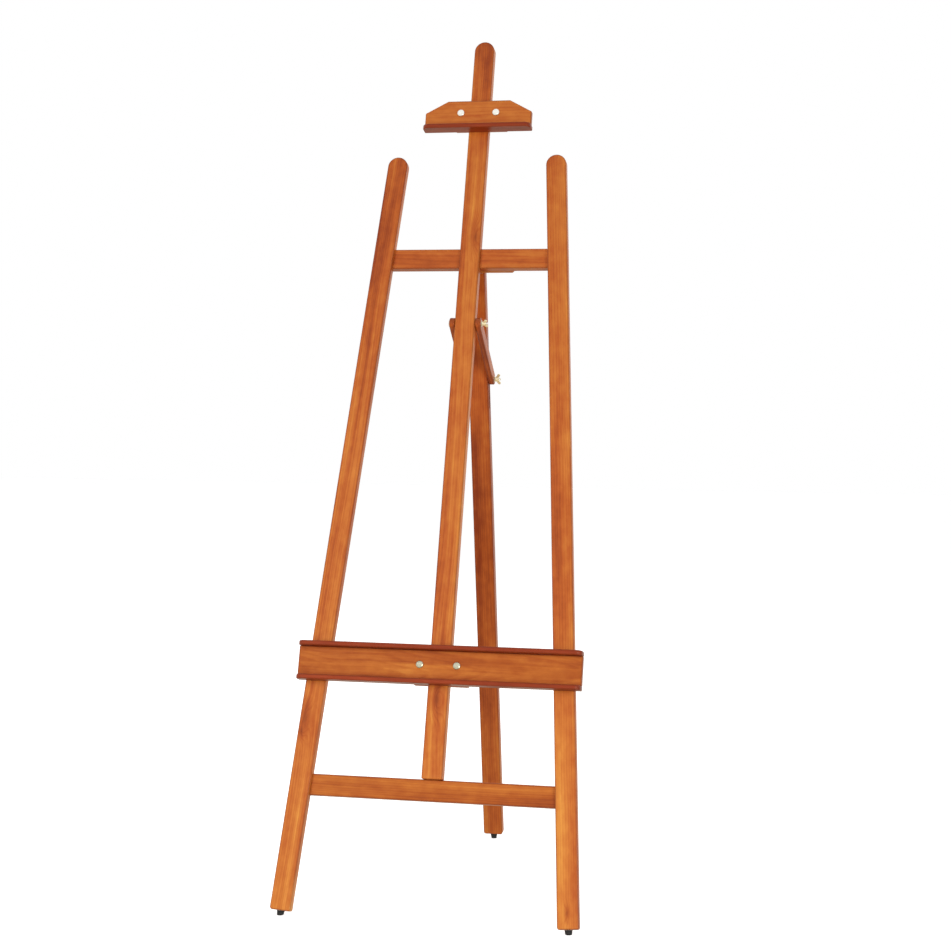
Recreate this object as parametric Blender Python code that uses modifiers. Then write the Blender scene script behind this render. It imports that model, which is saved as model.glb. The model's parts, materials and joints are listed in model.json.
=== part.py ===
"""Studio easel: a tapering front frame with a central mast, held up by one hinged rear leg.

The front frame leans back. A tray and a top clip slide on its mast and are clamped by
wing nuts. A pair of strut bars joins the mast to the rear leg, whose bolt slides in a
slot in that leg, so the easel folds flat. Metres, +Z up, front towards -Y, the origin on
the floor in the middle of the footprint.

Inside the front frame the axes are: x to the right, y backwards through the wood and
z up along the mast. Inside the rear leg and the strut z runs along the piece.
"""

import bmesh
import bpy
from math import atan2, cos, pi, radians, sin
from mathutils import Matrix, Vector

# Driving dimensions ---------------------------------------------------------------------
TILT = radians(18.0)            # lean of the front frame
REAR_LEAN = radians(8.4)        # lean of the rear leg, the other way
FRAME_LIFT = 0.010              # height of the front frame's lower edge above the floor
FOOTPRINT_MIDDLE = 0.31662      # from the front frame's lower edge to the footprint's middle
GAP = 0.0003                    # between pieces that touch

LEG_WIDTH = 0.040
LEG_THICK = 0.018
LEG_LENGTH = 1.488
LEG_CORNER = 0.0045             # rounding of a leg's two lower corners, seen from the front
LEG_SPREAD_LOW = 0.540          # between the leg centre lines at the bottom
LEG_SPREAD_HIGH = 0.3184        # and at the top

MAST_WIDTH = 0.040
MAST_THICK = 0.020
MAST_TOP = 1.729

BAR_FRONT = 0.008               # a crossbar's front lies this far behind the frame's front
BAR_BACK = 0.028
BAR_HEIGHT = 0.040
UPPER_BAR_BASE = 1.2512
LOWER_BAR_BASE = 0.2137
LAP_SETBACK = 0.003             # a crossbar's end stops short of the leg's outer edge
TENON = (0.025, 0.008, 0.020)   # width, thickness, length of the mast's tenon
TENON_ROOT = 0.020              # how far the tenon runs on inside the mast

BLOCK_LEFT = -0.026
BLOCK_RIGHT = 0.090
BLOCK_THICK = 0.010
BLOCK_CHAMFER = 0.009

HINGE_WIDTH = 0.034
HINGE_LEAF = 0.0015
HINGE_LEAF_DROP = 0.0225
KNUCKLE_RADIUS = 0.00275
HINGE_PIN_RADIUS = 0.00145
HINGE_PIN_HEAD = 0.0022
KNUCKLE_HALF = 0.006            # half length of the middle knuckle
PIN_HEIGHT = 1.276              # hinge pin, up the mast
PIN_DEPTH = 0.0420              # hinge pin, behind the frame's front

REAR_WIDTH = 0.040
REAR_THICK = 0.020
REAR_LENGTH = 1.2140            # from the pin down to the end of the wood
REAR_TOP = 0.003                # the wood above the pin
REAR_FACE = 0.0037              # the rear leg's front face, behind the pin

STRUT_PIVOT_HEIGHT = 1.138      # upper strut bolt, up the mast
STRUT_BOLT_DROP = 0.2375        # lower strut bolt, down the rear leg from the pin
STRUT_SLOT_TRAVEL = 0.0580      # how far that bolt slides when the easel folds
SLOT_WIDTH = 0.0064
STRUT_BAR_WIDTH = 0.022
STRUT_BAR_THICK = 0.0105
STRUT_BAR_OFFSET = 0.0206       # from the middle to a bar's inner face

TRAY_HALF = 0.272
TRAY_BASE = 0.4272
TRAY_HEIGHT = 0.073
LEDGE_THICK = 0.0088
LEDGE_DEPTH = 0.028
LEDGE_CORNER = 0.012
FACE_THICK = 0.012
CLAMP_HALF = 0.0525
CLAMP_THICK = 0.012
TRAY_CLAMP = (0.4290, 0.4960)
TRAY_BOLT_HEIGHT = 0.464
BOLT_SIDE = 0.0356              # clamp bolts to each side of the mast's middle

CLIP_LEDGE_BASE = 1.5335
CLIP_HALF = 0.108
CLIP_LEDGE_HALF = 0.1095
CLIP_SHOULDER = 1.5710
CLIP_TOP = 1.5960
CLIP_TOP_HALF = 0.063
CLIP_CLAMP = (1.5465, 1.5940)
CLIP_BOLT_HEIGHT = 1.5703

SCREW = (0.0016, 0.0036)        # shank and head radius of a wood screw
SMALL_SCREW = (0.0012, 0.0026)
SCREW_SINK = 0.0004             # a head's flat below the wood's face
LAP_SCREW = 0.024               # lengths of the screws
BLOCK_SCREW = 0.025
BLOCK_SCREW_PLACES = {"left": 0.034, "right": 0.074}
FOOT_SCREW = 0.020
LEAF_SCREWS = {"hinge_fixed_leaf": 0.0095, "hinge_moving_leaf": 0.013}
LEAF_SCREW_SIDE = 0.0095
LEAF_SCREW_DROP = 0.0135        # below the pin
LEAF_SCREW_SINK = 0.0002

BOLT_RADIUS = 0.0025
BOLT_HEAD_RADIUS = 0.0067
BOLT_HEAD_RISE = 0.0028
WASHER_RADIUS = 0.0062
WASHER_THICK = 0.0010
NUT_HUB_LOW = 0.0049
NUT_HUB_HIGH = 0.0038
NUT_HUB_HEIGHT = 0.0080
NUT_WING_REACH = 0.0113
NUT_WING_THICK = 0.0024
NUT_LOBE_RADIUS = 0.0030
NUT_LOBE_HEIGHT = 0.0080        # the middle of a wing's round end, above the nut's base
NUT_WING_FOOT = 0.0018          # where the wings start, above the nut's base
NUT_WING_DIP = 0.0012           # the wings' inner ends below the middle of their round ends
THREAD_END = 0.0035             # the bolt stands proud of its wing nut
CLAMP_NUT_TURNS = {"left": radians(24), "right": radians(-38)}
STRUT_NUT_TURNS = {"upper": radians(70), "lower": radians(-27)}

FOOT_RADIUS_TOP = 0.0074
FOOT_RADIUS_LOW = 0.0052
FOOT_HEIGHT = 0.016
FOOT_BORE = 0.0024
FOOT_BORE_DEPTH = 0.0030
FOOT_RECESS = 0.0040
FOOT_RECESS_ROOF = 0.0052       # where the recess for the screw's head starts, below the wood
FOOT_SCREW_DROP = 0.0050        # the head of a foot's screw, below the wood

EDGE = 0.0025                   # rounding along the wood's edges
FINE_EDGE = 0.0018
CRISP_EDGE = 0.0010

OBJECT_NAME = "a_frame_easel"


# Scene -----------------------------------------------------------------------------------
def clear_scene():
    for obj in list(bpy.data.objects):
        bpy.data.objects.remove(obj, do_unlink=True)


def new_collection(name):
    collection = bpy.data.collections.new(name)
    bpy.context.scene.collection.children.link(collection)
    return collection


clear_scene()
PARTS = new_collection(OBJECT_NAME)
CUTTERS = new_collection("cutters")


def finish(name, colour, roughness, metallic=0.0):
    material = bpy.data.materials.new(name)
    material.use_nodes = True
    shader = material.node_tree.nodes["Principled BSDF"]
    shader.inputs["Base Color"].default_value = (*colour, 1.0)
    shader.inputs["Roughness"].default_value = roughness
    shader.inputs["Metallic"].default_value = metallic
    material.diffuse_color = (*colour, 1.0)
    return material


WOOD = finish("lacquered_wood", (0.58, 0.17, 0.045), 0.36)
DARK_WOOD = finish("lacquered_wood_deep", (0.32, 0.055, 0.020), 0.34)
STEEL = finish("zinc_plated_steel", (0.72, 0.72, 0.70), 0.28, 1.0)
BRASS = finish("pale_brass", (0.78, 0.66, 0.40), 0.34, 1.0)
RUBBER = finish("black_rubber", (0.02, 0.02, 0.02), 0.75)


# Helpers ---------------------------------------------------------------------------------
def empty(name, location, parent=None, rotation=(0, 0, 0)):
    obj = bpy.data.objects.new(name, None)
    obj.empty_display_size = 0.05
    obj.location = location
    obj.rotation_euler = rotation
    obj.parent = parent
    PARTS.objects.link(obj)
    return obj


def add_mesh(name, mesh, parent, location, rotation, material):
    """A visible piece when it has a material, and otherwise a tool for a Boolean."""
    obj = bpy.data.objects.new(name, mesh)
    obj.location = location
    obj.rotation_euler = rotation
    obj.parent = parent
    if material is None:
        CUTTERS.objects.link(obj)
        obj.hide_render = True
        obj.display_type = "WIRE"
    else:
        mesh.materials.append(material)
        PARTS.objects.link(obj)
    return obj


def arc(centre_x, centre_y, radius, start, end, steps):
    """Points along an arc, its angles in degrees."""
    angles = [radians(start + (end - start) * i / steps) for i in range(steps + 1)]
    return [(centre_x + radius * cos(a), centre_y + radius * sin(a)) for a in angles]


AXIS_TURN = {
    "Z": Matrix.Identity(4),
    "Y": Matrix.Rotation(pi / 2, 4, "X"),
    "X": Matrix(((0, 0, 1, 0), (1, 0, 0, 0), (0, 1, 0, 0), (0, 0, 0, 1))),
}


def board(name, outline, thickness, across, parent, location,
          material=None, rotation=(0, 0, 0), edge=0.0, segments=3):
    """A flat outline given a thickness, from 0 upwards along its axis called across.

    The outline lies in XY for Z, in XZ for Y and in YZ for X.
    """
    curve = bpy.data.curves.new(name, "CURVE")
    curve.dimensions = "2D"
    curve.fill_mode = "BOTH"
    curve.extrude = thickness / 2
    spline = curve.splines.new("POLY")
    spline.points.add(len(outline) - 1)
    for point, (x, y) in zip(spline.points, outline):
        point.co = (x, y, 0.0, 1.0)
    spline.use_cyclic_u = True
    guide = bpy.data.objects.new(name + "_outline", curve)
    CUTTERS.objects.link(guide)
    depsgraph = bpy.context.evaluated_depsgraph_get()
    mesh = bpy.data.meshes.new_from_object(guide.evaluated_get(depsgraph))
    bpy.data.objects.remove(guide, do_unlink=True)
    bpy.data.curves.remove(curve)
    mesh.name = name
    mesh.materials.clear()
    mesh.transform(AXIS_TURN[across])
    shift = {"X": (thickness / 2, 0, 0), "Y": (0, thickness / 2, 0), "Z": (0, 0, thickness / 2)}
    mesh.transform(Matrix.Translation(shift[across]))
    shape = bmesh.new()
    shape.from_mesh(mesh)
    bmesh.ops.remove_doubles(shape, verts=shape.verts, dist=1e-5)
    bmesh.ops.dissolve_limit(shape, angle_limit=radians(1), verts=shape.verts,
                             edges=shape.edges)
    bmesh.ops.recalc_face_normals(shape, faces=shape.faces)
    shape.to_mesh(mesh)
    shape.free()
    obj = add_mesh(name, mesh, parent, location, rotation, material)
    if edge:
        round_edges(obj, edge, segments)
    return obj


def block(name, low, high, parent, material=None, edge=0.0, segments=2):
    """A box between two corners in its parent's axes, its origin in the middle."""
    low, high = Vector(low), Vector(high)
    shape = bmesh.new()
    bmesh.ops.create_cube(shape, size=1.0)
    bmesh.ops.scale(shape, vec=high - low, verts=shape.verts)
    mesh = bpy.data.meshes.new(name)
    shape.to_mesh(mesh)
    shape.free()
    obj = add_mesh(name, mesh, parent, (low + high) / 2, (0, 0, 0), material)
    if edge:
        round_edges(obj, edge, segments)
    return obj


def round_edges(obj, width, segments):
    bevel = obj.modifiers.new("edges", "BEVEL")
    bevel.width = width
    bevel.segments = segments
    bevel.limit_method = "ANGLE"
    bevel.angle_limit = radians(35)


def turned(name, profile, parent, location, rotation, material, steps=14, closed=False):
    """A profile of (radius, height) points, outer side downwards, turned about Z."""
    mesh = bpy.data.meshes.new(name)
    edges = [(i, i + 1) for i in range(len(profile) - 1)]
    if closed:
        edges.append((len(profile) - 1, 0))
    mesh.from_pydata([(r, 0.0, h) for r, h in profile], edges, [])
    obj = add_mesh(name, mesh, parent, location, rotation, material)
    screw = obj.modifiers.new("turn", "SCREW")
    screw.axis = "Z"
    screw.steps = steps
    screw.render_steps = steps
    screw.use_merge_vertices = True
    screw.merge_threshold = 1e-6
    screw.use_smooth_shade = True
    return obj


def rod(name, radius, start, end, parent, axis, segments=14):
    """A plain round cutter along one axis of its parent, between two points."""
    start, end = Vector(start), Vector(end)
    turn = {"X": (0, pi / 2, 0), "Y": (pi / 2, 0, 0), "Z": (0, 0, 0)}[axis]
    shape = bmesh.new()
    bmesh.ops.create_cone(shape, cap_ends=True, segments=segments,
                          radius1=radius, radius2=radius, depth=(end - start).length)
    mesh = bpy.data.meshes.new(name)
    shape.to_mesh(mesh)
    shape.free()
    return add_mesh(name, mesh, parent, (start + end) / 2, turn, None)


def combine(target, tool, operation):
    modifier = target.modifiers.new(operation.lower(), "BOOLEAN")
    modifier.operation = operation
    modifier.solver = "EXACT"
    modifier.object = tool


def cut(target, *tools):
    for tool in tools:
        combine(target, tool, "DIFFERENCE")


def join(target, *tools):
    for tool in tools:
        combine(target, tool, "UNION")


def box_outline(half_width, low, high):
    return [(-half_width, low), (half_width, low), (half_width, high), (-half_width, high)]


def round_top_outline(width, low, high):
    half = width / 2
    return [(-half, low), (half, low)] + arc(0, high - half, half, 0, 180, 16)


def leg_foot_outline(width, low):
    """The lower end of a leg, its corners rounded, from left to right."""
    side = width / 2 - LEG_CORNER
    return (arc(-side, low + LEG_CORNER, LEG_CORNER, 180, 270, 4)
            + arc(side, low + LEG_CORNER, LEG_CORNER, 270, 360, 4))


def stadium_outline(length, width, steps=10):
    """A straight bar with half-round ends about (0, 0) and (0, length)."""
    half = width / 2
    return arc(0, length, half, 0, 180, steps) + arc(0, 0, half, 180, 360, steps)


# Fasteners -------------------------------------------------------------------------------
def screw_profile(length, shank, head):
    """A countersunk wood screw, its head's flat at height 0."""
    return [(0, 0), (head, 0), (shank, -(head - shank)), (shank, -length * 0.72), (0, -length)]


def wood_screw(name, parent, location, rotation, length, radii=SCREW):
    profile = screw_profile(length, *radii)
    return turned(name, profile, parent, location, rotation, STEEL, steps=10)


def screw_hole(target, parent, location, rotation, length, radii=SCREW):
    """The hole that wood_screw leaves, a little larger all round and open at the head."""
    shank, head = radii
    reach, above = length + 2 * GAP, 0.004
    profile = [(0, above), (head + GAP, above), (head + GAP, 0),
               (shank + GAP, -(head - shank)), (shank + GAP, -reach), (0, -reach)]
    tool = turned(target.name + "_screw_hole", profile, parent, location, rotation, None,
                  steps=10)
    cut(target, tool)


def carriage_bolt(name, parent, location, rotation, length):
    """A domed head above height 0 and a plain shank below it."""
    dome = [(BOLT_HEAD_RADIUS * sin(a), BOLT_HEAD_RISE * cos(a))
            for a in (radians(90 * i / 5) for i in range(6))]
    profile = dome + [(BOLT_RADIUS, 0.0), (BOLT_RADIUS, -length), (0.0, -length)]
    return turned(name, profile, parent, location, rotation, STEEL)


def washer(name, parent, location, rotation):
    """A flat ring that rises from height 0."""
    bore = BOLT_RADIUS + GAP
    profile = [(bore, WASHER_THICK), (WASHER_RADIUS, WASHER_THICK), (WASHER_RADIUS, 0), (bore, 0)]
    return turned(name, profile, parent, location, rotation, STEEL, closed=True)


def wing_nut(name, parent, location, rotation):
    """A tapered hub that rises from height 0, with two wings and a bore."""
    hub = [(0, NUT_HUB_HEIGHT), (NUT_HUB_HIGH, NUT_HUB_HEIGHT), (NUT_HUB_LOW, NUT_WING_FOOT),
           (NUT_HUB_LOW, 0), (0, 0)]
    nut = turned(name, hub, parent, location, rotation, BRASS, steps=16)
    lobe, height = NUT_LOBE_RADIUS, NUT_LOBE_HEIGHT
    middle = NUT_WING_REACH - lobe
    root, dip = BOLT_RADIUS + GAP, height - NUT_WING_DIP
    wing = [(-NUT_HUB_HIGH, NUT_WING_FOOT), (NUT_HUB_HIGH, NUT_WING_FOOT)]
    wing += arc(middle, height, lobe, -50, 150, 6)
    wing += [(root, dip), (-root, dip)]
    wing += arc(-middle, height, lobe, 30, 230, 6)
    wings = board(name + "_wings", wing, NUT_WING_THICK, "Y", nut, (0, -NUT_WING_THICK / 2, 0))
    join(nut, wings)
    bore = rod(name + "_bore", BOLT_RADIUS + GAP, (0, 0, -0.01), (0, 0, 0.02), nut, "Z")
    cut(nut, bore)
    return nut


ALONG_X = (0, pi / 2, 0)
ALONG_Y = (-pi / 2, 0, 0)


def bolt_set(prefix, parent, head_at, turn, grip, nut_turn):
    """A carriage bolt, its washer and its wing nut, on an axis turned ALONG_X or ALONG_Y.

    grip is the distance from under the head to where the washer starts.
    """
    axis = empty(prefix + "_bolt_axis", head_at, parent, turn)
    nut_at = grip + WASHER_THICK + GAP
    length = nut_at + NUT_HUB_HEIGHT + THREAD_END
    carriage_bolt(prefix + "_bolt", axis, (0, 0, 0), (pi, 0, 0), length)
    washer(prefix + "_washer", axis, (0, 0, grip), (0, 0, 0))
    wing_nut(prefix + "_wing_nut", axis, (0, 0, nut_at), (0, 0, nut_turn))


def bolt_hole(target, parent, start, end, axis):
    name = target.name + "_bolt_hole"
    cut(target, rod(name, BOLT_RADIUS + GAP, start, end, parent, axis))


# Front frame -----------------------------------------------------------------------------
FRAME = empty("front_frame", (0, -FOOTPRINT_MIDDLE, FRAME_LIFT), None, (-TILT, 0, 0))
SPLAY = atan2((LEG_SPREAD_LOW - LEG_SPREAD_HIGH) / 2, LEG_LENGTH)


FLOOR_CUT = block("below_the_floor", (-1, -1, -0.2), (1, 1, 0.0), None)


def foot(prefix, leg, axis, end):
    """A tapered rubber foot under a leg's end, pressed flat on the floor, and its screw."""
    profile = [(FOOT_BORE, 0), (FOOT_RADIUS_TOP, 0), (FOOT_RADIUS_LOW, -FOOT_HEIGHT),
               (FOOT_RECESS, -FOOT_HEIGHT), (FOOT_RECESS, -FOOT_RECESS_ROOF),
               (FOOT_BORE, -FOOT_BORE_DEPTH)]
    end = Vector(end)
    rubber = turned(prefix + "_foot", profile, axis, end - Vector((0, 0, GAP)), (0, 0, 0),
                    RUBBER, steps=16, closed=True)
    cut(rubber, FLOOR_CUT)
    screw_at = end - Vector((0, 0, FOOT_SCREW_DROP))
    wood_screw(prefix + "_foot_screw", axis, screw_at, (pi, 0, 0), FOOT_SCREW)
    below, above = Vector((0, 0, -0.002)), Vector((0, 0, FOOT_SCREW))
    cut(leg, rod(prefix + "_foot_screw_hole", SCREW[0] + GAP, end + below, end + above, axis,
                 "Z", 10))


def leg_axis(side, name):
    """Axes along a front leg, from the middle of its lower end."""
    splay = (0, -side * SPLAY, 0)
    return empty(name, (side * LEG_SPREAD_LOW / 2, 0, 0), FRAME, splay)


def front_leg(side, name):
    axis = leg_axis(side, name + "_axis")
    outline = leg_foot_outline(LEG_WIDTH, 0) + round_top_outline(LEG_WIDTH, 0, LEG_LENGTH)[2:]
    leg = board(name, outline, LEG_THICK, "Y", axis, (0, 0, 0), WOOD, edge=EDGE)
    foot(name.replace("_leg", ""), leg, axis, (0, LEG_THICK / 2, 0))
    return leg


def leg_lap(side, thick):
    """The space that a front leg takes out of a crossbar, up to a depth behind the front."""
    half = LEG_WIDTH / 2 + GAP
    outer, ahead, base = half + 0.05, -0.01, 0.1
    low, high = (-half, ahead, base), (outer, thick, LEG_LENGTH)
    if side < 0:
        low, high = (-outer, ahead, base), (half, thick, LEG_LENGTH)
    return block("leg_lap", low, high, leg_axis(side, "lap_axis"))


def leg_centre(height):
    drift = (LEG_SPREAD_LOW - LEG_SPREAD_HIGH) / 2 * height / LEG_LENGTH
    return LEG_SPREAD_LOW / 2 - drift


def crossbar(name, base):
    """A bar between the legs whose thinner ends lap behind them."""
    reach = LEG_WIDTH / 2 / cos(SPLAY) - LAP_SETBACK
    low = leg_centre(base) + reach
    high = leg_centre(base + BAR_HEIGHT) + reach
    outline = [(-low, base), (low, base), (high, base + BAR_HEIGHT), (-high, base + BAR_HEIGHT)]
    bar = board(name, outline, BAR_BACK - BAR_FRONT, "Y", FRAME, (0, BAR_FRONT, 0), WOOD,
                edge=EDGE)
    for side in (-1, 1):
        cut(bar, leg_lap(side, LEG_THICK + GAP))
    return bar


left_leg = front_leg(-1, "left_leg")
right_leg = front_leg(1, "right_leg")
lower_crossbar = crossbar("lower_crossbar", LOWER_BAR_BASE)
upper_crossbar = crossbar("upper_crossbar", UPPER_BAR_BASE)


def lap_screws():
    """One screw from behind through each crossbar end into its leg."""
    turn = (-pi / 2, 0, 0)
    for bar, base in ((lower_crossbar, LOWER_BAR_BASE), (upper_crossbar, UPPER_BAR_BASE)):
        height = base + BAR_HEIGHT / 2
        for side, leg, word in ((-1, left_leg, "left"), (1, right_leg, "right")):
            at = (side * leg_centre(height), BAR_BACK - SCREW_SINK, height)
            wood_screw(bar.name + "_" + word + "_screw", FRAME, at, turn, LAP_SCREW)
            screw_hole(bar, FRAME, at, turn, LAP_SCREW)
            screw_hole(leg, FRAME, at, turn, LAP_SCREW)


lap_screws()

MAST_BASE = LOWER_BAR_BASE + BAR_HEIGHT + GAP


def build_mast():
    """The mast: round at the top, tenoned into the lower bar, let into the upper one."""
    half = MAST_WIDTH / 2
    mast = board("mast", round_top_outline(MAST_WIDTH, MAST_BASE, MAST_TOP), MAST_THICK, "Y",
                 FRAME, (0, 0, 0), WOOD, edge=EDGE)
    width, thick, length = TENON
    low = Vector((-width / 2, (BAR_FRONT + MAST_THICK - thick) / 2, MAST_BASE - length))
    high = Vector((width / 2, low.y + thick, MAST_BASE + TENON_ROOT))
    join(mast, block("mast_tenon", low, high, FRAME))
    room = Vector((GAP, GAP, GAP))
    cut(lower_crossbar, block("mortise", low - room, high + room, FRAME))
    over = 0.01
    dado = block("mast_dado", (-half - GAP, -over, UPPER_BAR_BASE - over),
                 (half + GAP, MAST_THICK + GAP, UPPER_BAR_BASE + BAR_HEIGHT + over), FRAME)
    cut(upper_crossbar, dado)
    middle = MAST_THICK / 2
    bolt_hole(mast, FRAME, (-half - over, middle, STRUT_PIVOT_HEIGHT),
              (half + over, middle, STRUT_PIVOT_HEIGHT), "X")
    return mast


mast = build_mast()


def build_hinge_block():
    """The block behind the upper crossbar, which carries the fixed half of the hinge.

    It reaches out to the right of the mast only, and is screwed to the bar there.
    """
    left, right, cap = BLOCK_LEFT, BLOCK_RIGHT, BLOCK_CHAMFER
    base, top = UPPER_BAR_BASE, UPPER_BAR_BASE + BAR_HEIGHT
    outline = [(left, base), (right - cap, base), (right, base + cap), (right, top - cap),
               (right - cap, top), (left, top)]
    front = BAR_BACK + GAP
    piece = board("hinge_block", outline, BLOCK_THICK, "Y", FRAME, (0, front, 0), WOOD,
                  edge=FINE_EDGE)
    height, turn = (base + top) / 2, (-pi / 2, 0, 0)
    for word, x in BLOCK_SCREW_PLACES.items():
        at = (x, front + BLOCK_THICK - SCREW_SINK, height)
        wood_screw("hinge_block_" + word + "_screw", FRAME, at, turn, BLOCK_SCREW)
        screw_hole(piece, FRAME, at, turn, BLOCK_SCREW)
        screw_hole(upper_crossbar, FRAME, at, turn, BLOCK_SCREW)
    return piece


hinge_block = build_hinge_block()

# Rear leg --------------------------------------------------------------------------------
HINGE = empty("rear_leg_hinge", (0, PIN_DEPTH, PIN_HEIGHT), FRAME)
REAR = empty("rear_leg_axis", (0, 0, 0), HINGE, (TILT + REAR_LEAN, 0, 0))


def hinge_leaf(name, parent, near, knuckles, wood):
    """One leaf below the pin, with its knuckles, screwed to a piece of wood.

    near is the plate's side towards the pin: in front of it when negative, else behind it.
    """
    half, toward = HINGE_WIDTH / 2, 1 if near > 0 else -1
    low_y, high_y = sorted((near, near + toward * HINGE_LEAF))
    plate = block(name, (-half, low_y, -HINGE_LEAF_DROP), (half, high_y, 0.0), parent, STEEL,
                  edge=0.0003, segments=1)
    for low, high in knuckles:
        join(plate, rod(name + "_knuckle", KNUCKLE_RADIUS, (low, 0, 0), (high, 0, 0), parent, "X"))
    clear = [(-half - 0.001, knuckles[0][0] - GAP), (knuckles[0][1] + GAP, half + 0.001)]
    if len(knuckles) == 2:
        clear = [(knuckles[0][1] + GAP, knuckles[1][0] - GAP)]
    notch = KNUCKLE_RADIUS + 2 * GAP
    for low, high in clear:
        cut(plate, block(name + "_notch", (low, -notch * 2, -notch), (high, notch * 2, notch),
                         parent))
    bore = rod(name + "_bore", HINGE_PIN_RADIUS + GAP, (-half * 2, 0, 0), (half * 2, 0, 0),
               parent, "X")
    cut(plate, bore)
    length, out = LEAF_SCREWS[name], 1 if wood is hinge_block else -1
    turn = (-out * pi / 2, 0, 0)
    for side, word in ((-1, "left"), (1, "right")):
        at = (side * LEAF_SCREW_SIDE, near + out * LEAF_SCREW_SINK, -LEAF_SCREW_DROP)
        wood_screw(name + "_" + word + "_screw", parent, at, turn, length, SMALL_SCREW)
        screw_hole(plate, parent, at, turn, length, SMALL_SCREW)
        screw_hole(wood, parent, at, turn, length, SMALL_SCREW)


def build_rear_leg():
    half = REAR_WIDTH / 2
    outline = leg_foot_outline(REAR_WIDTH, -REAR_LENGTH) + [(half, REAR_TOP), (-half, REAR_TOP)]
    leg = board("rear_leg", outline, REAR_THICK, "Y", REAR, (0, REAR_FACE, 0), WOOD, edge=EDGE)
    middle = REAR_FACE + REAR_THICK / 2
    slot = board("rear_leg_slot", stadium_outline(STRUT_SLOT_TRAVEL, SLOT_WIDTH), 2 * REAR_WIDTH,
                 "X", REAR, (-REAR_WIDTH, middle, -STRUT_BOLT_DROP - STRUT_SLOT_TRAVEL))
    cut(leg, slot)
    foot("rear", leg, REAR, (0, middle, -REAR_LENGTH))
    return leg


rear_leg = build_rear_leg()
FAR = HINGE_WIDTH / 2
NEAR = KNUCKLE_HALF + GAP / 2
BLOCK_BACK = BAR_BACK + GAP + BLOCK_THICK
hinge_leaf("hinge_fixed_leaf", HINGE, BLOCK_BACK + GAP + HINGE_LEAF - PIN_DEPTH,
           [(-FAR, -NEAR), (NEAR, FAR)], hinge_block)
hinge_leaf("hinge_moving_leaf", REAR, REAR_FACE - GAP - HINGE_LEAF, [(GAP - NEAR, NEAR - GAP)],
           rear_leg)


def build_hinge_pin():
    """The pin runs through all the knuckles and has a head at its right end."""
    end, under_head = HINGE_WIDTH / 2 + 0.0015, HINGE_WIDTH / 2 + GAP
    profile = [(0, end), (HINGE_PIN_HEAD, end), (HINGE_PIN_HEAD, under_head),
               (HINGE_PIN_RADIUS, under_head), (HINGE_PIN_RADIUS, -end), (0, -end)]
    turned("hinge_pin", profile, HINGE, (0, 0, 0), ALONG_X, STEEL, steps=12)


build_hinge_pin()


# Strut -----------------------------------------------------------------------------------
def point_in_frame(height, depth):
    """Depth and height of a point of the frame, measured from the frame's lower edge."""
    return Vector((depth * cos(TILT) + height * sin(TILT), height * cos(TILT) - depth * sin(TILT)))


def strut_line():
    """The strut's lean from straight down, and its length between the two bolts."""
    pivot = point_in_frame(STRUT_PIVOT_HEIGHT, MAST_THICK / 2)
    pin = point_in_frame(PIN_HEIGHT, PIN_DEPTH)
    back = REAR_FACE + REAR_THICK / 2
    lower = pin + Vector((back * cos(REAR_LEAN) + STRUT_BOLT_DROP * sin(REAR_LEAN),
                          back * sin(REAR_LEAN) - STRUT_BOLT_DROP * cos(REAR_LEAN)))
    span = lower - pivot
    return atan2(span.x, -span.y), span.length


STRUT_LEAN, STRUT_LENGTH = strut_line()
STRUT_PIVOT = empty("strut_pivot", (0, MAST_THICK / 2, STRUT_PIVOT_HEIGHT), FRAME)
STRUT = empty("strut_axis", (0, 0, 0), STRUT_PIVOT, (TILT + STRUT_LEAN - pi, 0, 0))


def strut_bar(side, name):
    inner = STRUT_BAR_OFFSET
    start = inner if side > 0 else -inner - STRUT_BAR_THICK
    bar = board(name, stadium_outline(STRUT_LENGTH, STRUT_BAR_WIDTH), STRUT_BAR_THICK, "X", STRUT,
                (start, 0, 0), WOOD, edge=FINE_EDGE)
    over = 0.01
    for height in (0.0, STRUT_LENGTH):
        bolt_hole(bar, STRUT, (start - over, 0, height),
                  (start + STRUT_BAR_THICK + over, 0, height), "X")


strut_bar(-1, "strut_bar_left")
strut_bar(1, "strut_bar_right")
STRUT_OUTER = STRUT_BAR_OFFSET + STRUT_BAR_THICK + GAP
bolt_set("strut_upper", STRUT_PIVOT, (-STRUT_OUTER, 0, 0), ALONG_X, 2 * STRUT_OUTER,
         STRUT_NUT_TURNS["upper"])
bolt_set("strut_lower", STRUT, (-STRUT_OUTER, 0, STRUT_LENGTH), ALONG_X, 2 * STRUT_OUTER,
         STRUT_NUT_TURNS["lower"])


# Sliding tray and top clip ---------------------------------------------------------------
def ledge(name, half, base, parent, origin, material):
    """A shelf in front of the mast, its two front corners rounded in plan."""
    front, back, radius = -GAP - LEDGE_DEPTH, -GAP, LEDGE_CORNER
    outline = [(half, back), (-half, back)]
    outline += arc(-half + radius, front + radius, radius, 180, 270, 6)
    outline += arc(half - radius, front + radius, radius, 270, 360, 6)
    return board(name, outline, LEDGE_THICK, "Z", parent, (0, 0, base - origin), material,
                 edge=FINE_EDGE)


def clamp_block(name, span, parent, origin):
    back = MAST_THICK + GAP
    outline = box_outline(CLAMP_HALF, span[0] - origin, span[1] - origin)
    return board(name, outline, CLAMP_THICK, "Y", parent, (0, back, 0), WOOD, edge=FINE_EDGE)


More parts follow.
